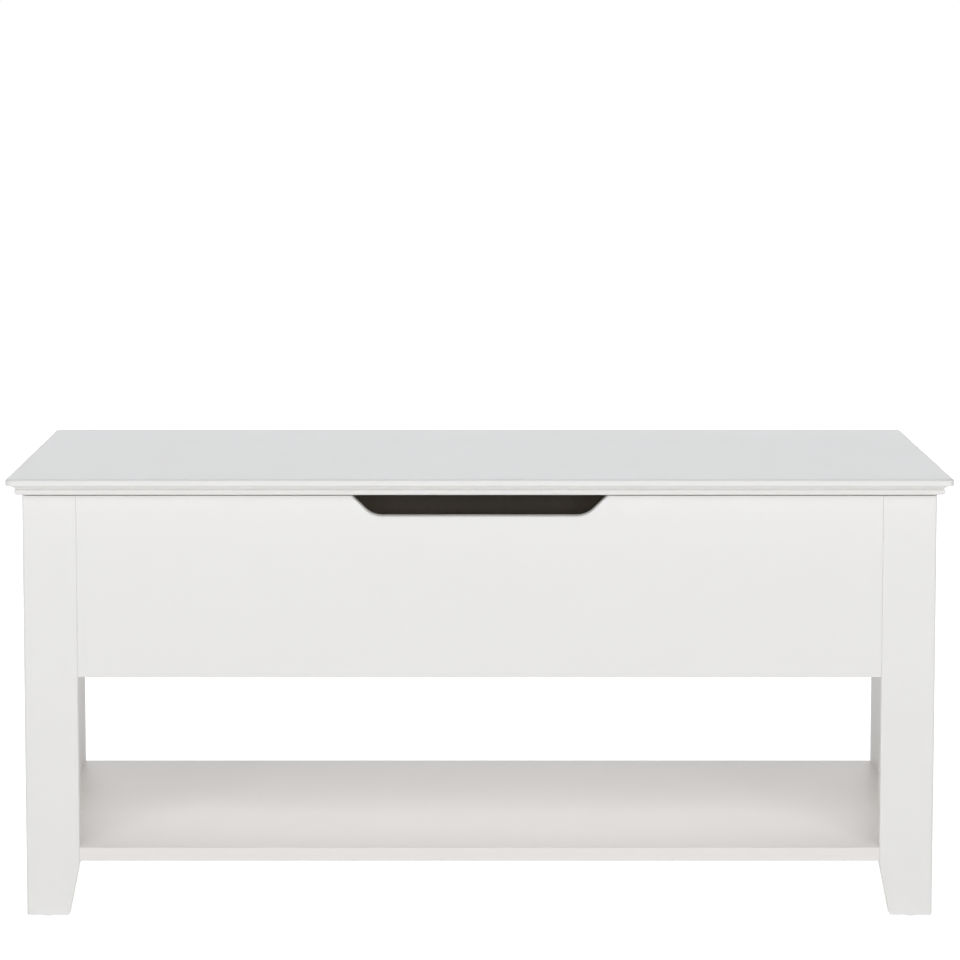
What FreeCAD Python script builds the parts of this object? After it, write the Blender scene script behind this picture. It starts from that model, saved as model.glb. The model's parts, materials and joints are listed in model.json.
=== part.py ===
import FreeCAD
import Part
import os
from math import asin, atan2, cos, degrees, radians, sin, sqrt, tan

# Storage bench: a painted board box with a lift-up lid, on four tapered feet, with an open shelf below.
# Millimetres. +X is to the right seen from the front, +Y to the back, +Z up.
# The origin is on the floor, under the middle of the lid.

V = FreeCAD.Vector
X_AXIS = V(1, 0, 0)
Y_AXIS = V(0, 1, 0)
Z_AXIS = V(0, 0, 1)
INWARD = V(-1, 0, 0)
FORWARD = V(0, -1, 0)
NEAR = 1e-4

# ---- driving sizes: the lid ----
LID_WIDTH = 1000.0
LID_DEPTH = 400.0
LID_THICKNESS = 18.0
LID_CORNER_RADIUS = 9.0
LID_TOP_ROUND = 2.5
OVERHANG_SIDE = 16.0
OVERHANG_FRONT = 16.0
OVERHANG_BACK = 5.5

# the moulded edge, from the top down: a nose, a shallow cove under it, and a bead set back at the bottom
NOSE_HEIGHT = 7.2
NOSE_ROUND = 1.8
COVE_HEIGHT = 4.6
COVE_HOLLOW = 1.2
BEAD_INSET = 8.5
BEAD_SHOULDER_ROUND = 1.8
BEAD_FLAT = 0.2

# ---- driving sizes: the carcass ----
BODY_TOP = 454.0
LID_GAP = 1.5
BOX_BOTTOM = 259.0
SIDE_THICKNESS = 15.0
STILE_THICKNESS = 15.0
STILE_WIDTH = 57.0
BACK_THICKNESS = 15.0
SHELF_BOTTOM = 60.0
SHELF_THICKNESS = 15.0
FOOT_TAPER = 12.0
GLIDE_HEIGHT = 1.0
FLOOR_THICKNESS = 9.0
FLOOR_RISE = 12.0
GROOVE_DEPTH = 6.0
GROOVE_CLEARANCE = 0.25
OUTER_EDGE_ROUND = 3.0
EDGE_ROUND = 1.5
SEAM_ROUND = 1.0
SIDE_SEAM_ROUND = 0.4

# ---- the hand cut-out in the front panel ----
CUTOUT_TOP_WIDTH = 271.0
CUTOUT_DEPTH = 22.0
CUTOUT_SLOPE_DEG = 45.0
CUTOUT_RADIUS = 25.0
CUTOUT_EDGE_ROUND = 2.5

# ---- fittings ----
HOLE_CLEARANCE = 0.05
FITTING_MARGIN = 42.0
DOWEL_OFFSET = 32.0
CAM_RADIUS = 7.5
CAM_HEIGHT = 12.5
CAM_FROM_END = 24.0
CAM_MOUTH_RADIUS = 4.2
CAM_CAP_RADIUS = 8.5
CAM_CAP_LIP = 0.8
CAM_SLOT_WIDTH = 1.6
CAM_SLOT_DEPTH = 1.2
BOLT_RADIUS = 2.5
BOLT_THREAD_LENGTH = 11.0
BOLT_HEAD_RADIUS = 3.5
BOLT_HEAD_LENGTH = 3.0
BOLT_HOLE_RADIUS = 4.0
BOLT_COLLAR_LENGTH = 1.5
DOWEL_RADIUS = 4.0
DOWEL_LENGTH = 30.0
DOWEL_IN_SIDE = 11.0
DOWEL_END_GAP = 1.0
DOWEL_CHAMFER = 0.8
SCREW_RADIUS = 1.6
SCREW_HEAD_RADIUS = 3.1
SCREW_HEAD_HEIGHT = 1.8
SCREW_LENGTH = 14.0
SCREW_TIP = 3.0
SCREW_POINT_RADIUS = 0.4
SCREW_CLEARANCE = 0.05
CROSS_WIDTH = 0.9
CROSS_SPAN = 3.4
CROSS_DEPTH = 1.0
GLIDE_RADIUS = 7.0
GLIDE_NAIL_RADIUS = 1.2
GLIDE_NAIL_LENGTH = 14.0
GLIDE_ROUND = 0.6
BUMPER_RADIUS = 4.0
BUMPER_ROUND = 0.8
BUMPER_FROM_BACK = 60.0

# ---- butt hinges ----
HINGE_SPACING = 350.0
HINGE_LENGTH = 60.0
HINGE_LEAF_WIDTH = 30.0
HINGE_LEAF_THICKNESS = 1.2
HINGE_KNUCKLE_RADIUS = 2.3
HINGE_PIN_RADIUS = 1.1
HINGE_PIN_HEAD_RADIUS = 1.9
HINGE_PIN_HEAD_LENGTH = 0.8
HINGE_KNUCKLES = 5
HINGE_KNUCKLE_GAP = 0.2
HINGE_RUNNING_GAP = 0.3
HINGE_SCREW_PITCH = 20.0
HINGE_SCREW_SETBACK = 19.0
HINGE_CORNER_RADIUS = 4.0
LID_OPEN_DEG = 95.0

# ---- slotted lid stays ----
STAY_FLOOR_CLEARANCE = 5.5
STAY_PIVOT_DROP = 12.0
STAY_CLOSED_DEG = 18.0
STAY_ARM_WIDTH = 14.0
STAY_ARM_THICKNESS = 2.0
STAY_STUD_RADIUS = 3.0
STAY_SLOT_CLEARANCE = 0.2
STAY_SLOT_OVERRUN = 0.5
STAY_STUD_HEAD_RADIUS = 6.0
STAY_STUD_HEAD_THICKNESS = 1.6
STAY_PLATE_THICKNESS = 1.5
STAY_PLATE_WIDTH = 18.0
STAY_PLATE_LENGTH = 50.0
STAY_PLATE_CORNER_RADIUS = 8.0
STAY_STUD_FROM_PLATE_TOP = 12.0
STAY_PLATE_SCREW_DROPS = (12.0, 30.0)
STAY_WASHER_RADIUS = 5.5
STAY_WASHER_THICKNESS = 1.2
STAY_SIDE_PLAY = 0.3
STAY_BRACKET_THICKNESS = 1.6
STAY_BRACKET_LENGTH = 26.0
STAY_BRACKET_REACH = 28.0
STAY_BRACKET_SCREW_SETBACKS = (9.0, 20.0)
STAY_RIVET_RADIUS = 2.5
STAY_RIVET_HEAD_RADIUS = 4.2
STAY_RIVET_HEAD_THICKNESS = 1.2
STAY_RIVET_HEAD_ROUND = 0.9
STAY_RIVET_TAIL_RADIUS = 3.8
STAY_RIVET_TAIL_THICKNESS = 0.8

# ---- places that follow from the sizes above ----
LID_LEFT = -LID_WIDTH / 2
LID_RIGHT = LID_WIDTH / 2
LID_FRONT = -LID_DEPTH / 2
LID_BACK = LID_DEPTH / 2
LID_BOTTOM = BODY_TOP + LID_GAP
LID_TOP = LID_BOTTOM + LID_THICKNESS
SIDE_OUT = LID_RIGHT - OVERHANG_SIDE
SIDE_IN = SIDE_OUT - SIDE_THICKNESS
STILE_IN = SIDE_OUT - STILE_WIDTH
BODY_FRONT = LID_FRONT + OVERHANG_FRONT
BODY_BACK = LID_BACK - OVERHANG_BACK
STILE_BACK = BODY_FRONT + STILE_THICKNESS
BACK_IN = BODY_BACK - BACK_THICKNESS
SHELF_TOP = SHELF_BOTTOM + SHELF_THICKNESS
FLOOR_BOTTOM = BOX_BOTTOM + FLOOR_RISE
FLOOR_TOP = FLOOR_BOTTOM + FLOOR_THICKNESS
HINGE_Y = BODY_BACK + HINGE_RUNNING_GAP + HINGE_KNUCKLE_RADIUS
HINGE_Z = LID_BOTTOM - HINGE_RUNNING_GAP - HINGE_KNUCKLE_RADIUS
HINGE_CENTRES = {"left": -HINGE_SPACING, "middle": 0.0, "right": HINGE_SPACING}


# ---------------------------------------------------------------- drawing helpers

def box(x0, x1, y0, y1, z0, z1):
    return Part.makeBox(x1 - x0, y1 - y0, z1 - z0, V(x0, y0, z0))


def rod(radius, start, direction, length):
    return Part.makeCylinder(radius, length, start, direction)


def mirrored(shape):
    """The left-hand twin of a right-hand piece."""
    return shape.mirror(V(0, 0, 0), X_AXIS)


def joined(shapes):
    """Touching solids as one clean solid."""
    return shapes[0].multiFuse(shapes[1:]).removeSplitter()


def group(shapes):
    """Separate solids that share one node."""
    return Part.makeCompound(shapes)


def prism_x(points, x0, x1):
    """A straight-sided outline in Y and Z, drawn out along X."""
    wire = Part.makePolygon([V(x0, y, z) for y, z in points + points[:1]])
    return Part.Face(wire).extrude(V(x1 - x0, 0, 0))


def prism_y(points, y0, y1):
    """A straight-sided outline in X and Z, drawn out along Y."""
    wire = Part.makePolygon([V(x, y0, z) for x, z in points + points[:1]])
    return Part.Face(wire).extrude(V(0, y1 - y0, 0))


def edges_on(shape, x=None, y=None, z=None):
    """The edges that lie wholly at the given coordinates."""
    found = []
    for edge in shape.Edges:
        b = edge.BoundBox
        spans = ((x, b.XMin, b.XMax), (y, b.YMin, b.YMax), (z, b.ZMin, b.ZMax))
        if all(v is None or (abs(lo - v) < NEAR and abs(hi - v) < NEAR) for v, lo, hi in spans):
            found.append(edge)
    return found


# ---------------------------------------------------------------- small fittings

def screw(head_face, direction, clearance=0.0):
    """A countersunk cross-head screw. With a clearance it is the hole that the screw sits in."""
    sink = SCREW_HEAD_HEIGHT + clearance
    shank = SCREW_RADIUS + clearance
    straight = SCREW_LENGTH - SCREW_TIP
    head = Part.makeCone(SCREW_HEAD_RADIUS + clearance, shank, sink, head_face, direction)
    body = rod(shank, head_face, direction, straight)
    point = SCREW_POINT_RADIUS + clearance
    tip = Part.makeCone(shank, point, SCREW_TIP + clearance, head_face + direction * straight, direction)
    solid = joined([head, body, tip])
    if clearance:
        return solid
    side = Z_AXIS if abs(direction.z) < 0.5 else Y_AXIS
    across = direction.cross(side)
    return solid.cut([driver_slot(head_face, direction, side), driver_slot(head_face, direction, across)])


def driver_slot(face, direction, along):
    """One stroke of a cross recess, sunk into a face."""
    across = direction.cross(along)
    corner = face - along * (CROSS_SPAN / 2) - across * (CROSS_WIDTH / 2)
    far = corner + along * CROSS_SPAN
    wire = Part.makePolygon([corner, far, far + across * CROSS_WIDTH, corner + across * CROSS_WIDTH, corner])
    return Part.Face(wire).extrude(direction * CROSS_DEPTH)


def cam_lock(centre, into, bolt_direction, bolt_depth):
    """A quarter-turn cam: a drum sunk flush in a panel, open at its rim for the bolt's head."""
    drum = rod(CAM_RADIUS, centre, into, CAM_HEIGHT)
    bolt_axis = centre + into * bolt_depth
    mouth_start = bolt_axis - bolt_direction * BOLT_HEAD_LENGTH
    mouth = rod(CAM_MOUTH_RADIUS, mouth_start, bolt_direction, CAM_RADIUS * 2)
    across = into.cross(bolt_direction)
    slot_start = centre - across * CAM_RADIUS - bolt_direction * (CAM_SLOT_WIDTH / 2)
    slot_end = slot_start + across * (CAM_RADIUS * 2)
    rise = bolt_direction * CAM_SLOT_WIDTH
    slot = Part.Face(Part.makePolygon([slot_start, slot_end, slot_end + rise, slot_start + rise, slot_start]))
    return drum.cut([mouth, slot.extrude(into * CAM_SLOT_DEPTH)])


def cam_bolt(joint_face, towards_cam):
    """A cam dowel: threaded end in one panel, collar at the joint, and shank and head in the other."""
    reach = CAM_FROM_END
    thread = rod(BOLT_RADIUS, joint_face - towards_cam * BOLT_THREAD_LENGTH, towards_cam, BOLT_THREAD_LENGTH)
    collar = rod(BOLT_HEAD_RADIUS, joint_face, towards_cam, BOLT_COLLAR_LENGTH)
    shank = rod(BOLT_RADIUS, joint_face, towards_cam, reach)
    head_start = joint_face + towards_cam * (reach - BOLT_HEAD_LENGTH / 2)
    head = rod(BOLT_HEAD_RADIUS, head_start, towards_cam, BOLT_HEAD_LENGTH)
    return joined([thread, collar, shank, head])


def cam_holes(joint_face, towards_cam, open_face_offset):
    """The bore for the cam and the hole that leads the bolt to it."""
    centre = joint_face + towards_cam * CAM_FROM_END + open_face_offset
    into = V(open_face_offset) * (-1.0 / open_face_offset.Length)
    bore = rod(CAM_RADIUS + HOLE_CLEARANCE, centre, into, CAM_HEIGHT + HOLE_CLEARANCE)
    lead = rod(BOLT_HOLE_RADIUS, joint_face, towards_cam, CAM_FROM_END)
    return [bore, lead]


def bolt_hole(joint_face, towards_cam):
    """The pilot for a cam bolt's thread."""
    depth = BOLT_THREAD_LENGTH + DOWEL_END_GAP
    return rod(BOLT_RADIUS + HOLE_CLEARANCE, joint_face - towards_cam * depth, towards_cam, depth)


def dowel(joint_face, direction):
    """A fluted wood dowel drawn smooth, with chamfered ends."""
    start = joint_face - direction * DOWEL_IN_SIDE
    peg = rod(DOWEL_RADIUS, start, direction, DOWEL_LENGTH)
    ends = [e for e in peg.Edges if e.Curve.TypeId == "Part::GeomCircle"]
    return peg.makeChamfer(DOWEL_CHAMFER, ends)


def dowel_hole(joint_face, direction):
    """Both halves of a dowel's hole: it is cut from each of the two panels that the dowel joins."""
    start = joint_face - direction * (DOWEL_IN_SIDE + DOWEL_END_GAP)
    return rod(DOWEL_RADIUS + HOLE_CLEARANCE, start, direction, DOWEL_LENGTH + 2 * DOWEL_END_GAP)


# ---------------------------------------------------------------- where the right-hand fittings go

SHELF_MID_Z = SHELF_BOTTOM + SHELF_THICKNESS / 2
FRONT_MID_Y = BODY_FRONT + STILE_THICKNESS / 2
BACK_MID_Y = BODY_BACK - BACK_THICKNESS / 2
SHELF_FITTING_Y = (STILE_BACK + FITTING_MARGIN, BODY_BACK - FITTING_MARGIN)
PANEL_FITTING_STEP = (BODY_TOP - FLOOR_TOP) / 4
PANEL_FITTING_Z = (FLOOR_TOP + PANEL_FITTING_STEP, BODY_TOP - PANEL_FITTING_STEP)

SHELF_JOINTS = [V(SIDE_IN, y, SHELF_MID_Z) for y in SHELF_FITTING_Y]
FRONT_JOINTS = [V(STILE_IN, FRONT_MID_Y, z) for z in PANEL_FITTING_Z]
BACK_JOINTS = [V(SIDE_IN, BACK_MID_Y, z) for z in PANEL_FITTING_Z]
TO_SHELF_UNDERSIDE = V(0, 0, -SHELF_THICKNESS / 2)
TO_FRONT_INSIDE = V(0, STILE_THICKNESS / 2, 0)
TO_BACK_OUTSIDE = V(0, BACK_THICKNESS / 2, 0)

SHELF_DOWELS = [
    V(SIDE_IN, SHELF_FITTING_Y[0] + DOWEL_OFFSET, SHELF_MID_Z),
    V(SIDE_IN, SHELF_FITTING_Y[1] - DOWEL_OFFSET, SHELF_MID_Z),
]
PANEL_DOWEL_Z = (PANEL_FITTING_Z[0] + PANEL_FITTING_Z[1]) / 2
FRONT_DOWELS = [V(STILE_IN, FRONT_MID_Y, PANEL_DOWEL_Z)]
BACK_DOWELS = [V(SIDE_IN, BACK_MID_Y, PANEL_DOWEL_Z)]
SIDE_MID_X = SIDE_IN + SIDE_THICKNESS / 2
STILE_DOWELS = [
    V(SIDE_MID_X, STILE_BACK, z)
    for z in (SHELF_TOP + FITTING_MARGIN, BOX_BOTTOM - FITTING_MARGIN, BODY_TOP - 2 * FITTING_MARGIN)
]

# The arm hangs in the box when the lid is closed, so the box's depth sets how long it may be. Its rivet
# and its stud lie on one circle about the hinge, so the arm turns by exactly half the lid's angle.
STAY_HALF_OPEN = radians((STAY_CLOSED_DEG + LID_OPEN_DEG) / 2)
STAY_PIVOT_Z = LID_BOTTOM - STAY_PIVOT_DROP
STAY_ARM_END = STAY_STUD_RADIUS + STAY_SLOT_OVERRUN + STAY_ARM_WIDTH / 2
STAY_ARM_ROOM = STAY_PIVOT_Z - FLOOR_TOP - STAY_FLOOR_CLEARANCE
STAY_RADIUS = (STAY_ARM_ROOM - STAY_ARM_END) / (2 * sin(STAY_HALF_OPEN))
STAY_PIVOT_DEG = degrees(asin((HINGE_Z - STAY_PIVOT_Z) / STAY_RADIUS))
STAY_PIVOT = V(0, HINGE_Y - STAY_RADIUS * cos(radians(STAY_PIVOT_DEG)), STAY_PIVOT_Z)
STAY_STUD_DEG = STAY_PIVOT_DEG + STAY_CLOSED_DEG
STAY_STUD_Y = HINGE_Y - STAY_RADIUS * cos(radians(STAY_STUD_DEG))
STAY_STUD_Z = HINGE_Z - STAY_RADIUS * sin(radians(STAY_STUD_DEG))
STAY_REACH_CLOSED = 2 * STAY_RADIUS * sin(radians(STAY_CLOSED_DEG / 2))
STAY_REACH_OPEN = 2 * STAY_RADIUS * sin(STAY_HALF_OPEN)
STAY_ARM_OUT = SIDE_IN - STAY_PLATE_THICKNESS - STAY_WASHER_THICKNESS - STAY_SIDE_PLAY
STAY_ARM_IN = STAY_ARM_OUT - STAY_ARM_THICKNESS


# ---------------------------------------------------------------- carcass boards

def floor_groove():
    """The groove that the box's floor panel sits in, cut into every board round it."""
    c = GROOVE_CLEARANCE
    return box(
        -SIDE_IN - GROOVE_DEPTH, SIDE_IN + GROOVE_DEPTH,
        STILE_BACK - GROOVE_DEPTH, BACK_IN + GROOVE_DEPTH,
        FLOOR_BOTTOM - c, FLOOR_TOP + c,
    )


def side_panel():
    """Right side: one board from the lid to the floor, with an arch that leaves two tapered feet."""
    front_foot = BODY_FRONT + STILE_WIDTH
    back_foot = BODY_BACK - STILE_WIDTH
    outline = [
        (STILE_BACK, GLIDE_HEIGHT),
        (front_foot - FOOT_TAPER, GLIDE_HEIGHT),
        (front_foot, SHELF_BOTTOM),
        (back_foot, SHELF_BOTTOM),
        (back_foot + FOOT_TAPER, GLIDE_HEIGHT),
        (BODY_BACK, GLIDE_HEIGHT),
        (BODY_BACK, BODY_TOP),
        (STILE_BACK, BODY_TOP),
    ]
    panel = prism_x(outline, SIDE_IN, SIDE_OUT)
    panel = panel.makeFillet(EDGE_ROUND, edges_on(panel, x=SIDE_OUT, y=BODY_BACK))
    panel = panel.makeFillet(SIDE_SEAM_ROUND, edges_on(panel, x=SIDE_OUT, y=STILE_BACK))
    holes = [bolt_hole(j, INWARD) for j in SHELF_JOINTS + BACK_JOINTS]
    holes += [dowel_hole(j, INWARD) for j in SHELF_DOWELS + BACK_DOWELS]
    holes += [dowel_hole(j, Y_AXIS) for j in STILE_DOWELS]
    holes += [screw(p, X_AXIS, SCREW_CLEARANCE) for p in stay_plate_screw_places()]
    holes += [glide_nail_hole(p) for p in glide_places()]
    return panel.cut(holes + [floor_groove()])


def front_stile():
    """Right front upright: the wide face of the front leg, tapered on its inner edge below the shelf."""
    outline = [
        (STILE_IN + FOOT_TAPER, GLIDE_HEIGHT),
        (SIDE_OUT, GLIDE_HEIGHT),
        (SIDE_OUT, BODY_TOP),
        (STILE_IN, BODY_TOP),
        (STILE_IN, SHELF_BOTTOM),
    ]
    stile = prism_y(outline, BODY_FRONT, STILE_BACK)
    stile = stile.makeFillet(OUTER_EDGE_ROUND, edges_on(stile, x=SIDE_OUT, y=BODY_FRONT))
    stile = stile.makeFillet(EDGE_ROUND, edges_on(stile, x=STILE_IN, y=BODY_FRONT))
    stile = stile.makeFillet(SIDE_SEAM_ROUND, edges_on(stile, x=SIDE_OUT, y=STILE_BACK))
    foot_corners = edges_on(stile, x=STILE_IN + FOOT_TAPER, z=GLIDE_HEIGHT)
    foot_corners += edges_on(stile, x=SIDE_OUT, z=GLIDE_HEIGHT)
    stile = stile.makeFillet(SEAM_ROUND, foot_corners)
    holes = [bolt_hole(j, INWARD) for j in FRONT_JOINTS]
    holes += [dowel_hole(j, INWARD) for j in FRONT_DOWELS]
    holes += [dowel_hole(j, Y_AXIS) for j in STILE_DOWELS]
    holes += [glide_nail_hole(p) for p in glide_places()]
    return stile.cut(holes + [floor_groove()])


def cutout_outline():
    """Half the hand cut-out's outline, from its middle to its top corner: a flat, an arc and a slope."""
    half_top = CUTOUT_TOP_WIDTH / 2
    bottom = BODY_TOP - CUTOUT_DEPTH
    slope = radians(CUTOUT_SLOPE_DEG)
    sharp = half_top - CUTOUT_DEPTH / tan(slope)
    tangent = CUTOUT_RADIUS * tan(slope / 2)
    flat_end = V(sharp - tangent, 0, bottom)
    slope_start = V(sharp + tangent * cos(slope), 0, bottom + tangent * sin(slope))
    middle = V(
        flat_end.x + CUTOUT_RADIUS * sin(slope / 2),
        0,
        bottom + CUTOUT_RADIUS * (1 - cos(slope / 2)),
    )
    return flat_end, middle, slope_start, V(half_top, 0, BODY_TOP)


def hand_cutout():
    """The trapezoid with rounded lower corners that a hand goes through to lift the lid."""
    flat_end, middle, slope_start, top = cutout_outline()

    def left(p):
        return V(-p.x, 0, p.z)

    above = V(0, 0, CUTOUT_DEPTH)
    edges = [
        Part.makeLine(left(flat_end), flat_end),
        Part.Arc(flat_end, middle, slope_start).toShape(),
        Part.makeLine(slope_start, top),
        Part.makeLine(top, top + above),
        Part.makeLine(top + above, left(top) + above),
        Part.makeLine(left(top) + above, left(top)),
        Part.makeLine(left(top), left(slope_start)),
        Part.Arc(left(slope_start), left(middle), left(flat_end)).toShape(),
    ]
    face = Part.Face(Part.Wire(edges))
    face.translate(V(0, LID_FRONT, 0))
    return face.extrude(V(0, STILE_BACK - LID_FRONT + CUTOUT_DEPTH, 0))


def front_panel():
    """The box's front between the two stiles, with the hand cut-out in its top edge."""
    panel = box(-STILE_IN, STILE_IN, BODY_FRONT, STILE_BACK, BOX_BOTTOM, BODY_TOP)
    panel = panel.cut(hand_cutout())
    seams = edges_on(panel, x=-STILE_IN, y=BODY_FRONT) + edges_on(panel, x=STILE_IN, y=BODY_FRONT)
    panel = panel.makeFillet(SEAM_ROUND, seams)
    bottoms = edges_on(panel, y=STILE_BACK, z=BOX_BOTTOM) + edges_on(panel, y=BODY_FRONT, z=BOX_BOTTOM)
    panel = panel.makeFillet(EDGE_ROUND, bottoms)
    rims = []
    for edge in panel.Edges:
        b = edge.BoundBox
        on_face = any(abs(b.YMin - y) < NEAR and abs(b.YMax - y) < NEAR for y in (BODY_FRONT, STILE_BACK))
        in_cutout = max(abs(b.XMin), abs(b.XMax)) <= CUTOUT_TOP_WIDTH / 2 + NEAR
        if on_face and in_cutout and b.ZMin >= BODY_TOP - CUTOUT_DEPTH - NEAR:
            rims.append(edge)
    panel = panel.makeFillet(CUTOUT_EDGE_ROUND, rims)
    holes = []
    for joint in FRONT_JOINTS:
        holes += cam_holes(joint, INWARD, TO_FRONT_INSIDE)
    holes += [dowel_hole(j, INWARD) for j in FRONT_DOWELS]
    return panel.cut(holes + [mirrored(h) for h in holes] + [floor_groove()])


def back_panel():
    """The box's back, between the side panels. The hinges are screwed to its outer face."""
    panel = box(-SIDE_IN, SIDE_IN, BACK_IN, BODY_BACK, BOX_BOTTOM, BODY_TOP)
    panel = panel.makeFillet(SEAM_ROUND, edges_on(panel, y=BODY_BACK, z=BOX_BOTTOM))
    holes = []
    for joint in BACK_JOINTS:
        holes += cam_holes(joint, INWARD, TO_BACK_OUTSIDE)
    holes += [dowel_hole(j, INWARD) for j in BACK_DOWELS]
    holes += [mirrored(h) for h in holes]
    holes += [screw(p, FORWARD, SCREW_CLEARANCE) for p in all_hinge_places(hinge_back_screw_places)]
    return panel.cut(holes + [floor_groove()])


def box_floor():
    """The floor panel of the box, held in the groove on all four sides."""
    c = GROOVE_CLEARANCE
    return box(
        -SIDE_IN - GROOVE_DEPTH + c, SIDE_IN + GROOVE_DEPTH - c,
        STILE_BACK - GROOVE_DEPTH + c, BACK_IN + GROOVE_DEPTH - c,
        FLOOR_BOTTOM, FLOOR_TOP,
    )


def lower_shelf():
    """The shelf: full width between the side panels, and a nose that comes flush between the stiles."""
    main = box(-SIDE_IN, SIDE_IN, STILE_BACK, BODY_BACK, SHELF_BOTTOM, SHELF_TOP)
    nose = box(-STILE_IN, STILE_IN, BODY_FRONT, STILE_BACK, SHELF_BOTTOM, SHELF_TOP)
    shelf = joined([main, nose])
    long_edges = edges_on(shelf, y=BODY_FRONT, z=SHELF_TOP) + edges_on(shelf, y=BODY_FRONT, z=SHELF_BOTTOM)
    long_edges += edges_on(shelf, y=BODY_BACK, z=SHELF_TOP) + edges_on(shelf, y=BODY_BACK, z=SHELF_BOTTOM)
    shelf = shelf.makeFillet(EDGE_ROUND, long_edges)
    holes = []
    for joint in SHELF_JOINTS:
        holes += cam_holes(joint, INWARD, TO_SHELF_UNDERSIDE)
    holes += [dowel_hole(j, INWARD) for j in SHELF_DOWELS]
    return shelf.cut(holes + [mirrored(h) for h in holes])


# ---------------------------------------------------------------- the lid

def moulding(outward, rim, square=False):
    """Edge outline from the lid's top down to its underside, as shape edges in (across, Z).

    outward is +1 or -1, the way the rim faces, and rim its coordinate. The result is a list of
    pieces: two points make a straight, three an arc.
    """
    def at(inset, drop):
        return (rim - outward * inset, LID_TOP - drop)

    if square:
        return [[at(0, 0), at(0, LID_THICKNESS)]]
    turn = 1 - sin(radians(45))
    nose_turn = NOSE_ROUND * turn
    shoulder_turn = BEAD_SHOULDER_ROUND * turn
    quirk_inset = BEAD_INSET + BEAD_SHOULDER_ROUND
    quirk_drop = NOSE_HEIGHT + COVE_HEIGHT
    bead_top = quirk_drop + BEAD_SHOULDER_ROUND
    bead_start = bead_top + BEAD_FLAT
    bead_round = LID_THICKNESS - bead_start
    bead_turn = bead_round * turn
    cove_run = quirk_inset - NOSE_ROUND
    cove_chord = sqrt(cove_run ** 2 + COVE_HEIGHT ** 2)
    cove_middle = at(
        NOSE_ROUND + cove_run / 2 + COVE_HOLLOW * COVE_HEIGHT / cove_chord,
        NOSE_HEIGHT + COVE_HEIGHT / 2 - COVE_HOLLOW * cove_run / cove_chord,
    )
    return [
        [at(0, 0), at(0, NOSE_HEIGHT - NOSE_ROUND)],
        [
            at(0, NOSE_HEIGHT - NOSE_ROUND),
            at(nose_turn, NOSE_HEIGHT - nose_turn),
            at(NOSE_ROUND, NOSE_HEIGHT),
        ],
        [at(NOSE_ROUND, NOSE_HEIGHT), cove_middle, at(quirk_inset, quirk_drop)],
        [
            at(quirk_inset, quirk_drop),
            at(BEAD_INSET + shoulder_turn, quirk_drop + shoulder_turn),
            at(BEAD_INSET, bead_top),
        ],
        [at(BEAD_INSET, bead_top), at(BEAD_INSET, bead_start)],
        [
            at(BEAD_INSET, bead_start),
            at(BEAD_INSET + bead_turn, LID_THICKNESS - bead_turn),
            at(BEAD_INSET + bead_round, LID_THICKNESS),
        ],
    ]


def moulded_slab(first, second, place, travel):
    """A slab whose section has the two given edges, drawn out along travel."""
    def drawn(pieces):
        made = []
        for piece in pieces:
            points = [place(*p) for p in piece]
            made.append(Part.makeLine(*points) if len(points) == 2 else Part.Arc(*points).toShape())
        return made

    top = Part.makeLine(place(*first[0][0]), place(*second[0][0]))
    bottom = Part.makeLine(place(*first[-1][-1]), place(*second[-1][-1]))
    wire = Part.Wire(Part.__sortEdges__(drawn(first) + drawn(second) + [top, bottom]))
    return Part.Face(wire).extrude(travel)


def lid_panel():
    """The seat: one board with a moulded edge at the front and sides and a plain edge at the back."""
    along = moulded_slab(
        moulding(-1, LID_FRONT), moulding(1, LID_BACK, square=True),
        lambda y, z: V(LID_LEFT, y, z), V(LID_WIDTH, 0, 0),
    )
    across = moulded_slab(
        moulding(-1, LID_LEFT), moulding(1, LID_RIGHT),
        lambda x, z: V(x, LID_FRONT, z), V(0, LID_DEPTH, 0),
    )
    blank = box(LID_LEFT, LID_RIGHT, LID_FRONT, LID_BACK, LID_BOTTOM, LID_TOP)
    corners = []
    for x in (LID_LEFT, LID_RIGHT):
        for y in (LID_FRONT, LID_BACK):
            corners += edges_on(blank, x=x, y=y)
    blank = blank.makeFillet(LID_CORNER_RADIUS, corners)
    blank = blank.makeFillet(LID_TOP_ROUND, edges_on(blank, z=LID_TOP))
    lid = blank.common(along).common(across)
    holes = [screw(p, Z_AXIS, SCREW_CLEARANCE) for p in all_hinge_places(hinge_lid_screw_places)]
    stay_holes = [screw(p, Z_AXIS, SCREW_CLEARANCE) for p in stay_bracket_screw_places()]
    return lid.cut(holes + stay_holes + [mirrored(h) for h in stay_holes])


# ---------------------------------------------------------------- butt hinges

def hinge_screw_xs(centre):
    return [centre + k * HINGE_SCREW_PITCH for k in (-1, 0, 1)]


def hinge_back_screw_places(centre):
    face = BODY_BACK + HINGE_LEAF_THICKNESS
    return [V(x, face, HINGE_Z - HINGE_SCREW_SETBACK) for x in hinge_screw_xs(centre)]


def hinge_lid_screw_places(centre):
    face = LID_BOTTOM - HINGE_LEAF_THICKNESS
    return [V(x, HINGE_Y - HINGE_SCREW_SETBACK, face) for x in hinge_screw_xs(centre)]


def all_hinge_places(places):
    return [p for centre in HINGE_CENTRES.values() for p in places(centre)]


def knuckle_spans(centre, parity):
    """The stretches of the barrel that one leaf's knuckles fill: parity 0 is the fixed leaf's."""
    pitch = HINGE_LENGTH / HINGE_KNUCKLES
    start = centre - HINGE_LENGTH / 2
    spans = []
    for k in range(parity, HINGE_KNUCKLES, 2):
        lo = start + k * pitch + (HINGE_KNUCKLE_GAP / 2 if k else 0)
        hi = start + (k + 1) * pitch - (HINGE_KNUCKLE_GAP / 2 if k < HINGE_KNUCKLES - 1 else 0)
        spans.append((lo, hi))
    return spans


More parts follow.
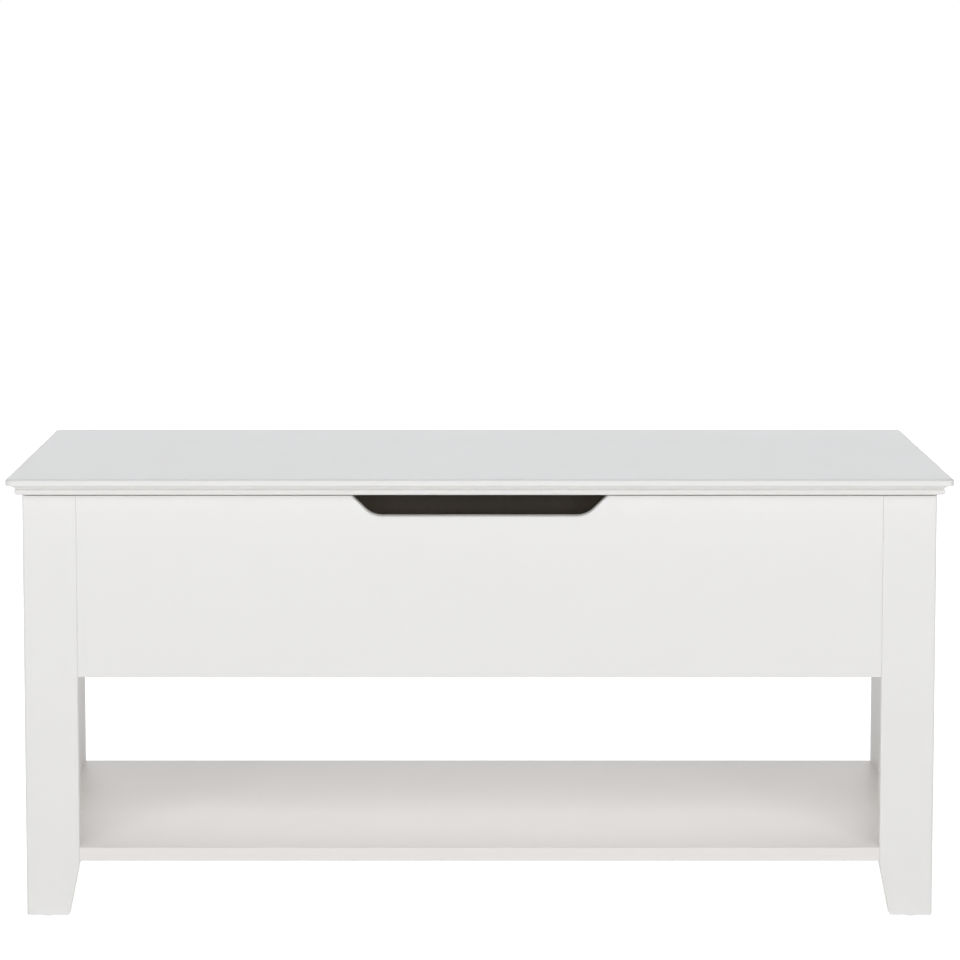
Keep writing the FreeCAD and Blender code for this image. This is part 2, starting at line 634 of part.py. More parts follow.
def hinge_leaf(plate, centre, parity, holes):
    """A leaf: its plate cut back from the other leaf's knuckles, with its own knuckles joined on."""
    def barrel(radius, lo, hi):
        return rod(radius, V(lo, HINGE_Y, HINGE_Z), X_AXIS, hi - lo)

    gap = HINGE_KNUCKLE_GAP / 2
    clear = HINGE_KNUCKLE_RADIUS + HINGE_RUNNING_GAP
    notches = [barrel(clear, lo - gap, hi + gap) for lo, hi in knuckle_spans(centre, 1 - parity)]
    knuckles = [barrel(HINGE_KNUCKLE_RADIUS, lo, hi) for lo, hi in knuckle_spans(centre, parity)]
    leaf = joined([plate.cut(notches)] + knuckles)
    half = HINGE_LENGTH / 2
    bore = barrel(HINGE_PIN_RADIUS + HOLE_CLEARANCE, centre - half, centre + half)
    return leaf.cut([bore] + holes)


def hinge_back_leaf(centre):
    """The leaf on the back panel's outer face."""
    half = HINGE_LENGTH / 2
    low = HINGE_Z - HINGE_LEAF_WIDTH
    plate = box(centre - half, centre + half, BODY_BACK, BODY_BACK + HINGE_LEAF_THICKNESS, low, HINGE_Z)
    corners = edges_on(plate, x=centre - half, z=low) + edges_on(plate, x=centre + half, z=low)
    plate = plate.makeFillet(HINGE_CORNER_RADIUS, corners)
    holes = [screw(p, FORWARD, SCREW_CLEARANCE) for p in hinge_back_screw_places(centre)]
    return hinge_leaf(plate, centre, 0, holes)


def hinge_lid_leaf(centre):
    """The leaf on the lid's underside."""
    half = HINGE_LENGTH / 2
    front = HINGE_Y - HINGE_LEAF_WIDTH
    plate = box(centre - half, centre + half, front, HINGE_Y, LID_BOTTOM - HINGE_LEAF_THICKNESS, LID_BOTTOM)
    corners = edges_on(plate, x=centre - half, y=front) + edges_on(plate, x=centre + half, y=front)
    plate = plate.makeFillet(HINGE_CORNER_RADIUS, corners)
    holes = [screw(p, Z_AXIS, SCREW_CLEARANCE) for p in hinge_lid_screw_places(centre)]
    return hinge_leaf(plate, centre, 1, holes)


def hinge_pin(centre):
    """The pin, peened over at both ends of the barrel."""
    half = HINGE_LENGTH / 2
    head = HINGE_PIN_HEAD_LENGTH
    shaft = rod(HINGE_PIN_RADIUS, V(centre - half - head, HINGE_Y, HINGE_Z), X_AXIS, HINGE_LENGTH + 2 * head)
    left = rod(HINGE_PIN_HEAD_RADIUS, V(centre - half - head, HINGE_Y, HINGE_Z), X_AXIS, head)
    right = rod(HINGE_PIN_HEAD_RADIUS, V(centre + half, HINGE_Y, HINGE_Z), X_AXIS, head)
    return joined([shaft, left, right])


# ---------------------------------------------------------------- slotted lid stays (right-hand)

def stay_plate_screw_places():
    face = SIDE_IN - STAY_PLATE_THICKNESS
    return [V(face, STAY_STUD_Y, STAY_STUD_Z - drop) for drop in STAY_PLATE_SCREW_DROPS]


def stay_bracket_screw_places():
    ear_in = STAY_ARM_IN - STAY_SIDE_PLAY - STAY_BRACKET_THICKNESS
    face = LID_BOTTOM - STAY_BRACKET_THICKNESS
    return [V(ear_in - setback, STAY_PIVOT.y, face) for setback in STAY_BRACKET_SCREW_SETBACKS]


def stay_plate():
    """The wall plate that holds the stud, screwed to the side panel's inner face."""
    half_w = STAY_PLATE_WIDTH / 2
    top = STAY_STUD_Z + STAY_STUD_FROM_PLATE_TOP
    bottom = top - STAY_PLATE_LENGTH
    plate = box(
        SIDE_IN - STAY_PLATE_THICKNESS, SIDE_IN,
        STAY_STUD_Y - half_w, STAY_STUD_Y + half_w,
        bottom, top,
    )
    corners = []
    for y in (STAY_STUD_Y - half_w, STAY_STUD_Y + half_w):
        for z in (bottom, top):
            corners += edges_on(plate, y=y, z=z)
    plate = plate.makeFillet(STAY_PLATE_CORNER_RADIUS, corners)
    return plate.cut([screw(p, X_AXIS, SCREW_CLEARANCE) for p in stay_plate_screw_places()])


def stay_stud():
    """The shouldered stud that the arm's slot slides on, riveted to the plate."""
    length = STAY_WASHER_THICKNESS + STAY_ARM_THICKNESS + 2 * STAY_SIDE_PLAY
    root = V(SIDE_IN - STAY_PLATE_THICKNESS, STAY_STUD_Y, STAY_STUD_Z)
    shoulder = rod(STAY_STUD_RADIUS, root, INWARD, length)
    head = rod(STAY_STUD_HEAD_RADIUS, root + INWARD * length, INWARD, STAY_STUD_HEAD_THICKNESS)
    rim = edges_on(head, x=root.x - length - STAY_STUD_HEAD_THICKNESS)
    head = head.makeFillet(STAY_STUD_HEAD_THICKNESS / 2, rim)
    return joined([shoulder, head])


def stay_washer():
    """The plastic washer between the wall plate and the arm."""
    root = V(SIDE_IN - STAY_PLATE_THICKNESS, STAY_STUD_Y, STAY_STUD_Z)
    ring = rod(STAY_WASHER_RADIUS, root, INWARD, STAY_WASHER_THICKNESS)
    return ring.cut(rod(STAY_STUD_RADIUS + HOLE_CLEARANCE, root, INWARD, STAY_WASHER_THICKNESS))


def stay_arm():
    """The slotted arm. It hangs from its rivet under the lid, and its slot runs over the stud."""
    half = STAY_ARM_WIDTH / 2
    length = STAY_REACH_OPEN + STAY_STUD_RADIUS + STAY_SLOT_OVERRUN
    slot_half = STAY_STUD_RADIUS + STAY_SLOT_CLEARANCE
    slot_start = STAY_REACH_CLOSED - STAY_SLOT_OVERRUN
    slot_end = STAY_REACH_OPEN + STAY_SLOT_OVERRUN
    t = STAY_ARM_THICKNESS
    blank = joined([
        box(0, t, -half, half, -length, 0),
        rod(half, V(0, 0, 0), X_AXIS, t),
        rod(half, V(0, 0, -length), X_AXIS, t),
    ])
    slot = joined([
        box(0, t, -slot_half, slot_half, -slot_end, -slot_start),
        rod(slot_half, V(0, 0, -slot_start), X_AXIS, t),
        rod(slot_half, V(0, 0, -slot_end), X_AXIS, t),
    ])
    hole = rod(STAY_RIVET_RADIUS + HOLE_CLEARANCE, V(0, 0, 0), X_AXIS, t)
    arm = blank.cut([slot, hole])
    lean = degrees(atan2(STAY_STUD_Y - STAY_PIVOT.y, STAY_PIVOT.z - STAY_STUD_Z))
    arm.rotate(V(0, 0, 0), X_AXIS, lean)
    arm.translate(V(STAY_ARM_IN, STAY_PIVOT.y, STAY_PIVOT.z))
    return arm


def stay_bracket():
    """The folded bracket on the lid's underside: a flange for two screws and an ear for the rivet."""
    t = STAY_BRACKET_THICKNESS
    half = STAY_BRACKET_LENGTH / 2
    ear_out = STAY_ARM_IN - STAY_SIDE_PLAY
    ear_in = ear_out - t
    ear_radius = STAY_ARM_WIDTH / 2
    flange = box(ear_in - STAY_BRACKET_REACH, ear_out, STAY_PIVOT.y - half, STAY_PIVOT.y + half,
                 LID_BOTTOM - t, LID_BOTTOM)
    corners = []
    for y in (STAY_PIVOT.y - half, STAY_PIVOT.y + half):
        corners += edges_on(flange, x=ear_in - STAY_BRACKET_REACH, y=y)
    flange = flange.makeFillet(HINGE_CORNER_RADIUS, corners)
    web = box(ear_in, ear_out, STAY_PIVOT.y - ear_radius, STAY_PIVOT.y + ear_radius, STAY_PIVOT.z, LID_BOTTOM)
    tip = rod(ear_radius, V(ear_in, STAY_PIVOT.y, STAY_PIVOT.z), X_AXIS, t)
    bracket = joined([flange, web, tip])
    rivet_hole = rod(STAY_RIVET_RADIUS + HOLE_CLEARANCE, V(ear_in, STAY_PIVOT.y, STAY_PIVOT.z), X_AXIS, t)
    holes = [screw(p, Z_AXIS, SCREW_CLEARANCE) for p in stay_bracket_screw_places()]
    return bracket.cut(holes + [rivet_hole])


def stay_rivet():
    """The rivet that the arm turns on."""
    ear_in = STAY_ARM_IN - STAY_SIDE_PLAY - STAY_BRACKET_THICKNESS
    outer = STAY_ARM_OUT + STAY_SIDE_PLAY
    head = STAY_RIVET_HEAD_THICKNESS
    start = V(ear_in - head, STAY_PIVOT.y, STAY_PIVOT.z)
    shank = rod(STAY_RIVET_RADIUS, start, X_AXIS, outer - ear_in + head)
    inner_head = rod(STAY_RIVET_HEAD_RADIUS, start, X_AXIS, head)
    inner_head = inner_head.makeFillet(STAY_RIVET_HEAD_ROUND, edges_on(inner_head, x=start.x))
    tail_start = V(outer, STAY_PIVOT.y, STAY_PIVOT.z)
    tail = rod(STAY_RIVET_TAIL_RADIUS, tail_start, X_AXIS, STAY_RIVET_TAIL_THICKNESS)
    return joined([shank, inner_head, tail])


# ---------------------------------------------------------------- feet and buffers

def glide_places():
    """Under the middle of the stile's foot, and of the side panel's back foot."""
    foot_width = STILE_WIDTH - FOOT_TAPER
    front = V(SIDE_OUT - foot_width / 2, FRONT_MID_Y, GLIDE_HEIGHT)
    back = V(SIDE_MID_X, BODY_BACK - foot_width / 2, GLIDE_HEIGHT)
    return [front, back]


def glide(place):
    """A nail-on plastic glide."""
    foot = V(place.x, place.y, place.z - GLIDE_HEIGHT)
    pad = rod(GLIDE_RADIUS, foot, Z_AXIS, GLIDE_HEIGHT)
    pad = pad.makeFillet(GLIDE_ROUND, edges_on(pad, z=foot.z))
    nail = rod(GLIDE_NAIL_RADIUS, place, Z_AXIS, GLIDE_NAIL_LENGTH)
    return joined([pad, nail])


def glide_nail_hole(place):
    return rod(GLIDE_NAIL_RADIUS + HOLE_CLEARANCE, place, Z_AXIS, GLIDE_NAIL_LENGTH + DOWEL_END_GAP)


def bumper(place):
    """A soft button that the closed lid rests on."""
    button = rod(BUMPER_RADIUS, place, Z_AXIS, LID_GAP)
    return button.makeFillet(BUMPER_ROUND, edges_on(button, z=place.z + LID_GAP))


def bumper_places():
    front = V(SIDE_OUT - STILE_WIDTH / 2, FRONT_MID_Y, BODY_TOP)
    back = V(SIDE_MID_X, BODY_BACK - BUMPER_FROM_BACK, BODY_TOP)
    return [front, back]


# ---------------------------------------------------------------- fittings by the set

def both_sides(shapes):
    return group(shapes + [mirrored(s) for s in shapes])


def cam_set(joints, open_face_offset, bolt_depth):
    """The cams of one board: each lies sunk in the board's face, with its mouth towards the joint."""
    into = V(open_face_offset) * (-1.0 / open_face_offset.Length)
    cams = []
    for joint in joints:
        centre = joint + INWARD * CAM_FROM_END + open_face_offset
        cams.append(cam_lock(centre, into, X_AXIS, bolt_depth))
    return both_sides(cams)


def cam_caps(joints, open_face_offset):
    """Thin press-in covers over the cams that show."""
    out = V(open_face_offset) * (1.0 / open_face_offset.Length)
    caps = []
    for joint in joints:
        centre = joint + INWARD * CAM_FROM_END + open_face_offset
        disc = rod(CAM_CAP_RADIUS, centre, out, CAM_CAP_LIP)
        far = centre + out * CAM_CAP_LIP
        caps.append(disc.makeFillet(CAM_CAP_LIP / 2, edges_on(disc, y=far.y)))
    return both_sides(caps)


def nodes():
    """Every sub-part by name."""
    made = {
        "lid_panel": lid_panel(),
        "side_panel_right": side_panel(),
        "front_stile_right": front_stile(),
        "front_panel": front_panel(),
        "back_panel": back_panel(),
        "box_floor": box_floor(),
        "lower_shelf": lower_shelf(),
        "shelf_cam_locks": cam_set(SHELF_JOINTS, TO_SHELF_UNDERSIDE, SHELF_THICKNESS / 2),
        "front_cam_locks": cam_set(FRONT_JOINTS, TO_FRONT_INSIDE, STILE_THICKNESS / 2),
        "back_cam_locks": cam_set(BACK_JOINTS, TO_BACK_OUTSIDE, BACK_THICKNESS / 2),
        "shelf_cam_bolts": both_sides([cam_bolt(j, INWARD) for j in SHELF_JOINTS]),
        "front_cam_bolts": both_sides([cam_bolt(j, INWARD) for j in FRONT_JOINTS]),
        "back_cam_bolts": both_sides([cam_bolt(j, INWARD) for j in BACK_JOINTS]),
        "front_cam_caps": cam_caps(FRONT_JOINTS, TO_FRONT_INSIDE),
        "back_cam_caps": cam_caps(BACK_JOINTS, TO_BACK_OUTSIDE),
        "shelf_dowels": both_sides([dowel(j, INWARD) for j in SHELF_DOWELS]),
        "front_dowels": both_sides([dowel(j, INWARD) for j in FRONT_DOWELS]),
        "back_dowels": both_sides([dowel(j, INWARD) for j in BACK_DOWELS]),
        "stile_dowels": both_sides([dowel(j, Y_AXIS) for j in STILE_DOWELS]),
        "foot_glides": both_sides([glide(p) for p in glide_places()]),
        "lid_bumpers": both_sides([bumper(p) for p in bumper_places()]),
        "stay_plate_right": stay_plate(),
        "stay_stud_right": stay_stud(),
        "stay_washer_right": stay_washer(),
        "stay_arm_right": stay_arm(),
        "stay_bracket_right": stay_bracket(),
        "stay_rivet_right": stay_rivet(),
        "stay_plate_screws": both_sides([screw(p, X_AXIS) for p in stay_plate_screw_places()]),
        "stay_bracket_screws": both_sides([screw(p, Z_AXIS) for p in stay_bracket_screw_places()]),
        "hinge_back_screws": group([screw(p, FORWARD) for p in all_hinge_places(hinge_back_screw_places)]),
        "hinge_lid_screws": group([screw(p, Z_AXIS) for p in all_hinge_places(hinge_lid_screw_places)]),
    }
    for name in [n for n in made if n.endswith("_right")]:
        made[name.replace("_right", "_left")] = mirrored(made[name])
    for name, centre in HINGE_CENTRES.items():
        made[f"hinge_back_leaf_{name}"] = hinge_back_leaf(centre)
        made[f"hinge_lid_leaf_{name}"] = hinge_lid_leaf(centre)
        made[f"hinge_pin_{name}"] = hinge_pin(centre)
    return made


os.makedirs("parts", exist_ok=True)
for node, shape in nodes().items():
    shape.exportStep(f"parts/{node}.step")
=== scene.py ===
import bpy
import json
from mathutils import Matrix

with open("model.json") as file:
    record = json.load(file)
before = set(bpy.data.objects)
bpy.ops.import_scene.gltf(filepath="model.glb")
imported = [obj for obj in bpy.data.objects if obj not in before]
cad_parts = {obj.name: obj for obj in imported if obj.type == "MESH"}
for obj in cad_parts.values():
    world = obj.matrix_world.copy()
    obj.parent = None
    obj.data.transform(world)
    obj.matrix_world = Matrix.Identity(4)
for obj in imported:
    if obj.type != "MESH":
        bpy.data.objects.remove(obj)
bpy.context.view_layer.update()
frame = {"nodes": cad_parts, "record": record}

import json
import math

import bpy
from mathutils import Vector

# ---- lacquered boards ----
# The lid, side panels, stiles, front and back panels and shelf are dense board, routed at the edges and
# sprayed with a satin white lacquer. Spraying leaves a faint orange peel and very slight changes of gloss.


def new_effect(name, inputs, outputs):
    """An empty effect group with its named sockets, and its input and output nodes."""
    group = bpy.data.node_groups.new(name, "ShaderNodeTree")
    for label, kind, value in inputs:
        socket = group.interface.new_socket(name=label, in_out="INPUT", socket_type=kind)
        socket.default_value = value
    for label, kind in outputs:
        group.interface.new_socket(name=label, in_out="OUTPUT", socket_type=kind)
    return group, group.nodes.new("NodeGroupInput"), group.nodes.new("NodeGroupOutput")


def noise(tree, place, scale, detail=2.0):
    """Noise in the object's own metres: scale is how many cells lie in one metre."""
    node = tree.nodes.new("ShaderNodeTexNoise")
    node.inputs["Detail"].default_value = detail
    tree.links.new(place, node.inputs["Vector"])
    if isinstance(scale, (int, float)):
        node.inputs["Scale"].default_value = scale
    else:
        tree.links.new(scale, node.inputs["Scale"])
    return node.outputs["Fac"]


def arithmetic(tree, operation, *values):
    """A Math node fed with numbers or sockets."""
    node = tree.nodes.new("ShaderNodeMath")
    node.operation = operation
    for socket, value in zip(node.inputs, values):
        if isinstance(value, (int, float)):
            socket.default_value = value
        else:
            tree.links.new(value, socket)
    return node.outputs["Value"]


def sprayed_skin():
    """Orange peel, faint mottling and gloss changes of a sprayed coat."""
    skin, given, made = new_effect(
        "sprayed_skin",
        [
            ("Light Tone", "NodeSocketColor", (1.0, 1.0, 1.0, 1.0)),
            ("Deep Tone", "NodeSocketColor", (0.9, 0.9, 0.9, 1.0)),
            ("Peel Cells", "NodeSocketFloat", 420.0),
            ("Roughness", "NodeSocketFloat", 0.4),
            ("Gloss Change", "NodeSocketFloat", 0.06),
        ],
        [("Color", "NodeSocketColor"), ("Roughness", "NodeSocketFloat"), ("Height", "NodeSocketFloat")],
    )
    place = skin.nodes.new("ShaderNodeTexCoord").outputs["Object"]
    mottle = noise(skin, place, 7.0, 3.0)
    tone = skin.nodes.new("ShaderNodeMix")
    tone.data_type = "RGBA"
    skin.links.new(mottle, tone.inputs["Factor"])
    skin.links.new(given.outputs["Deep Tone"], tone.inputs["A"])
    skin.links.new(given.outputs["Light Tone"], tone.inputs["B"])
    skin.links.new(tone.outputs["Result"], made.inputs["Color"])
    patches = arithmetic(skin, "SUBTRACT", noise(skin, place, 26.0), 0.5)
    change = arithmetic(skin, "MULTIPLY", patches, given.outputs["Gloss Change"])
    skin.links.new(arithmetic(skin, "ADD", change, given.outputs["Roughness"]), made.inputs["Roughness"])
    peel = noise(skin, place, given.outputs["Peel Cells"])
    swell = noise(skin, place, 55.0)
    skin.links.new(arithmetic(skin, "ADD", peel, swell), made.inputs["Height"])
    return skin


def skinned_material(name, skin, settings, relief, depth):
    """A Principled material whose colour, roughness and relief come from an effect group."""
    material = bpy.data.materials.new(name)
    material.use_nodes = True
    tree = material.node_tree
    shader = tree.nodes["Principled BSDF"]
    effect = tree.nodes.new("ShaderNodeGroup")
    effect.node_tree = skin
    for label, value in settings.items():
        effect.inputs[label].default_value = value
    tree.links.new(effect.outputs["Color"], shader.inputs["Base Color"])
    tree.links.new(effect.outputs["Roughness"], shader.inputs["Roughness"])
    bump = tree.nodes.new("ShaderNodeBump")
    bump.inputs["Strength"].default_value = relief
    bump.inputs["Distance"].default_value = depth
    tree.links.new(effect.outputs["Height"], bump.inputs["Height"])
    tree.links.new(bump.outputs["Normal"], shader.inputs["Normal"])
    return material, shader


def finish_nodes(material, nodes):
    """Puts one finish on CAD nodes."""
    for name in nodes:
        slots = frame["nodes"][name].data.materials
        slots.clear()
        slots.append(material)


SPRAYED = sprayed_skin()
BOARD_COAT = {"Light Tone": (0.890, 0.874, 0.852, 1.0), "Deep Tone": (0.874, 0.856, 0.832, 1.0), "Roughness": 0.42}
lacquer, lacquer_shader = skinned_material(
    "satin_white_lacquer",
    SPRAYED,
    BOARD_COAT,
    relief=0.22,
    depth=0.0002,
)
lacquer_shader.inputs["Specular IOR Level"].default_value = 0.45
finish_nodes(lacquer, [
    "lid_panel", "side_panel_left", "side_panel_right", "front_stile_left", "front_stile_right",
])

# ---- lower shelf ----
# The same board and lacquer, with a slightly creamier tone that is painted warm shade of the bay under the box,
# and a more matt coat on its broad flat top, which was sprayed lying down and so has a softer orange peel.
shelf_coat_painted_warm_shade, shelf_shader = skinned_material(
    "shelf_lacquer_painted_warm_shade",
    SPRAYED,
    {
        # Creamier tones: painted warm shade of the shelf bay.
        "Light Tone": (0.905, 0.870, 0.842, 1.0),
        "Deep Tone": (0.888, 0.852, 0.822, 1.0),
        "Peel Cells": 300.0,
        "Roughness": 0.45,
    },
    relief=0.18,
    depth=0.0002,
)
shelf_shader.inputs["Specular IOR Level"].default_value = 0.45
finish_nodes(shelf_coat_painted_warm_shade, ["lower_shelf"])

# ---- front and back panels ----
# Lacquered outside and on their edges like the other boards. The faces that look into the box turn to a warm
# greige with a fine linen of crossing threads; that warm greige is painted shade, the dark of the closed box
# painted into their colour.


def linen_painted_shade():
    """Painted shade for the inside of the box: two sets of threads that cross, and slow changes of its dark warm
    tone.
    """
    shade_linen, given, made = new_effect(
        "linen_painted_shade",
        [
            ("Light Tone", "NodeSocketColor", (0.8, 0.8, 0.8, 1.0)),
            ("Deep Tone", "NodeSocketColor", (0.7, 0.7, 0.7, 1.0)),
            ("Thread Cells", "NodeSocketFloat", 900.0),
            ("Roughness", "NodeSocketFloat", 0.4),
        ],
        [("Color", "NodeSocketColor"), ("Roughness", "NodeSocketFloat"), ("Height", "NodeSocketFloat")],
    )
    place = shade_linen.nodes.new("ShaderNodeTexCoord").outputs["Object"]
    thread_stretch = 24.0
    threads = []
    for squeeze in ((1.0 / thread_stretch, 1.0, 1.0), (1.0, 1.0 / thread_stretch, 1.0 / thread_stretch)):
        drawn = shade_linen.nodes.new("ShaderNodeVectorMath")
        drawn.operation = "MULTIPLY"
        drawn.inputs[1].default_value = squeeze
        shade_linen.links.new(place, drawn.inputs[0])
        threads.append(noise(shade_linen, drawn.outputs["Vector"], given.outputs["Thread Cells"]))
    weave = arithmetic(shade_linen, "MULTIPLY", arithmetic(shade_linen, "ADD", *threads), 0.5)
    slow = noise(shade_linen, place, 9.0)
    blend = arithmetic(shade_linen, "MULTIPLY", arithmetic(shade_linen, "ADD", weave, slow), 0.5)
    tone = shade_linen.nodes.new("ShaderNodeMix")
    tone.data_type = "RGBA"
    shade_linen.links.new(blend, tone.inputs["Factor"])
    shade_linen.links.new(given.outputs["Deep Tone"], tone.inputs["A"])
    shade_linen.links.new(given.outputs["Light Tone"], tone.inputs["B"])
    shade_linen.links.new(tone.outputs["Result"], made.inputs["Color"])
    dull = arithmetic(shade_linen, "MULTIPLY", arithmetic(shade_linen, "SUBTRACT", weave, 0.5), 0.12)
    shade_linen.links.new(arithmetic(shade_linen, "ADD", dull, given.outputs["Roughness"]), made.inputs["Roughness"])
    shade_linen.links.new(weave, made.inputs["Height"])
    return shade_linen


LINEN_SHADE_GROUP = linen_painted_shade()
# Warm greige linen tones: painted shade of the closed box, not the board's own colour.
INSIDE_PAINTED_SHADE_TONES = {"Light Tone": (0.76, 0.655, 0.52, 1.0), "Deep Tone": (0.64, 0.545, 0.43, 1.0)}


def mixed(tree, kind, mask, first, second):
    """A Mix node of one kind that turns from the first socket to the second where the mask is 1."""
    node = tree.nodes.new("ShaderNodeMix")
    node.data_type = kind
    tree.links.new(mask, node.inputs["Factor"])
    a, b = [socket for socket in node.inputs if socket.enabled and socket.name in ("A", "B")]
    tree.links.new(first, a)
    tree.links.new(second, b)
    return [socket for socket in node.outputs if socket.enabled][0]


def lacquer_with_painted_shade_face(name, axis, side):
    """Lacquer that turns to linen in a painted warm shade on the flat face that looks along an axis, on side +1 or
    -1.
    """
    material, shader = skinned_material(name, SPRAYED, BOARD_COAT, relief=0.22, depth=0.0002)
    tree = material.node_tree
    coat = shader.inputs["Base Color"].links[0].from_node
    bump = shader.inputs["Normal"].links[0].from_node
    shade_linen = tree.nodes.new("ShaderNodeGroup")
    shade_linen.node_tree = LINEN_SHADE_GROUP
    for label, value in INSIDE_PAINTED_SHADE_TONES.items():
        shade_linen.inputs[label].default_value = value
    # Mask of the inner face, where the painted shade of the box replaces the lacquer.
    facing = tree.nodes.new("ShaderNodeSeparateXYZ")
    tree.links.new(tree.nodes.new("ShaderNodeTexCoord").outputs["Normal"], facing.inputs["Vector"])
    squarely = 0.99
    mask = arithmetic(tree, "GREATER_THAN", arithmetic(tree, "MULTIPLY", facing.outputs[axis], side), squarely)
    for label, kind, socket in (
        ("Color", "RGBA", shader.inputs["Base Color"]),
        ("Roughness", "FLOAT", shader.inputs["Roughness"]),
        ("Height", "FLOAT", bump.inputs["Height"]),
    ):
        tree.links.new(mixed(tree, kind, mask, coat.outputs[label], shade_linen.outputs[label]), socket)
    shader.inputs["Specular IOR Level"].default_value = 0.45
    return material


finish_nodes(lacquer_with_painted_shade_face("front_panel_painted_shade_inside", "Y", 1.0), ["front_panel"])
finish_nodes(lacquer_with_painted_shade_face("back_panel_painted_shade_inside", "Y", -1.0), ["back_panel"])

# ---- box floor ----
# A thin board with the same warm greige linen on top, painted shade of the closed box, and white below, where it
# shows as the roof of the shelf bay.
# It slides into grooves on all four sides before the last panel goes on.
finish_nodes(lacquer_with_painted_shade_face("box_floor_painted_shade_top", "Z", 1.0), ["box_floor"])

# ---- metal fittings ----
# Hinges, stays, screws and cam bolts are steel with a nickel plate; the cam locks are die-cast zinc, duller
# and grainier. Rolled sheet keeps a fine grain along its length.


def drawn_grain():
    """Fine lines along X, and blotches of slightly duller metal."""
    grain, given, made = new_effect(
        "drawn_grain",
        [
            ("Bright", "NodeSocketColor", (0.7, 0.7, 0.7, 1.0)),
            ("Dull", "NodeSocketColor", (0.5, 0.5, 0.5, 1.0)),
            ("Stretch", "NodeSocketFloat", 12.0),
            ("Roughness", "NodeSocketFloat", 0.3),
        ],
        [("Color", "NodeSocketColor"), ("Roughness", "NodeSocketFloat"), ("Height", "NodeSocketFloat")],
    )
    place = grain.nodes.new("ShaderNodeTexCoord").outputs["Object"]
    apart = grain.nodes.new("ShaderNodeSeparateXYZ")
    grain.links.new(place, apart.inputs["Vector"])
    together = grain.nodes.new("ShaderNodeCombineXYZ")
    squeezed = arithmetic(grain, "DIVIDE", apart.outputs["X"], given.outputs["Stretch"])
    grain.links.new(squeezed, together.inputs["X"])
    grain.links.new(apart.outputs["Y"], together.inputs["Y"])
    grain.links.new(apart.outputs["Z"], together.inputs["Z"])
    lines = noise(grain, together.outputs["Vector"], 2600.0)
    blotches = noise(grain, place, 160.0)
    tone = grain.nodes.new("ShaderNodeMix")
    tone.data_type = "RGBA"
    grain.links.new(blotches, tone.inputs["Factor"])
    grain.links.new(given.outputs["Dull"], tone.inputs["A"])
    grain.links.new(given.outputs["Bright"], tone.inputs["B"])
    grain.links.new(tone.outputs["Result"], made.inputs["Color"])
    spread = arithmetic(grain, "MULTIPLY", arithmetic(grain, "SUBTRACT", lines, 0.5), 0.3)
    grain.links.new(arithmetic(grain, "ADD", spread, given.outputs["Roughness"]), made.inputs["Roughness"])
    grain.links.new(lines, made.inputs["Height"])
    return grain


DRAWN = drawn_grain()
nickel, nickel_shader = skinned_material(
    "nickel_plate",
    DRAWN,
    {"Bright": (0.66, 0.64, 0.60, 1.0), "Dull": (0.52, 0.50, 0.47, 1.0), "Roughness": 0.27},
    relief=0.12,
    depth=0.00005,
)
nickel_shader.inputs["Metallic"].default_value = 1.0
zinc, zinc_shader = skinned_material(
    "die_cast_zinc",
    DRAWN,
    {"Bright": (0.50, 0.51, 0.53, 1.0), "Dull": (0.36, 0.37, 0.39, 1.0), "Stretch": 1.0, "Roughness": 0.5},
    relief=0.3,
    depth=0.0001,
)
zinc_shader.inputs["Metallic"].default_value = 1.0
slots_by_node = {part["node"]: part["material_slot"] for part in frame["record"]["subparts"]}
finish_nodes(nickel, [name for name, slot in slots_by_node.items() if slot == "nickel_steel"])
finish_nodes(zinc, [name for name, slot in slots_by_node.items() if slot == "zinc"])

# ---- plastic and rubber pieces ----
# Cam caps, stay washers and floor glides are moulded white plastic with a fine matt texture. The lid
# bumpers are soft clear buttons that have taken on a milky look.
moulded, moulded_shader = skinned_material(
    "moulded_white_plastic",
    SPRAYED,
    {
        "Light Tone": (0.80, 0.79, 0.77, 1.0),
        "Deep Tone": (0.76, 0.75, 0.73, 1.0),
        "Peel Cells": 2200.0,
        "Roughness": 0.5,
    },
    relief=0.25,
    depth=0.0001,
)
moulded_shader.inputs["Subsurface Weight"].default_value = 0.05
finish_nodes(moulded, [n for n, slot in slots_by_node.items() if slot in ("cap_plastic", "glide_plastic")])
milky, milky_shader = skinned_material(
    "milky_rubber",
    SPRAYED,
    {
        "Light Tone": (0.80, 0.80, 0.77, 1.0),
        "Deep Tone": (0.72, 0.72, 0.69, 1.0),
        "Peel Cells": 1500.0,
        "Roughness": 0.3,
    },
    relief=0.1,
    depth=0.0001,
)
milky_shader.inputs["Transmission Weight"].default_value = 0.35
finish_nodes(milky, ["lid_bumpers"])

# ---- dowels ----
# Beech pegs, glued in. Their grain runs along their length, with short darker flecks.
beech, beech_shader = skinned_material(
    "beech_peg",
    DRAWN,
    {"Bright": (0.62, 0.44, 0.27, 1.0), "Dull": (0.46, 0.30, 0.17, 1.0), "Stretch": 8.0, "Roughness": 0.6},
    relief=0.35,
    depth=0.0002,
)
finish_nodes(beech, [n for n, slot in slots_by_node.items() if slot == "beech"])

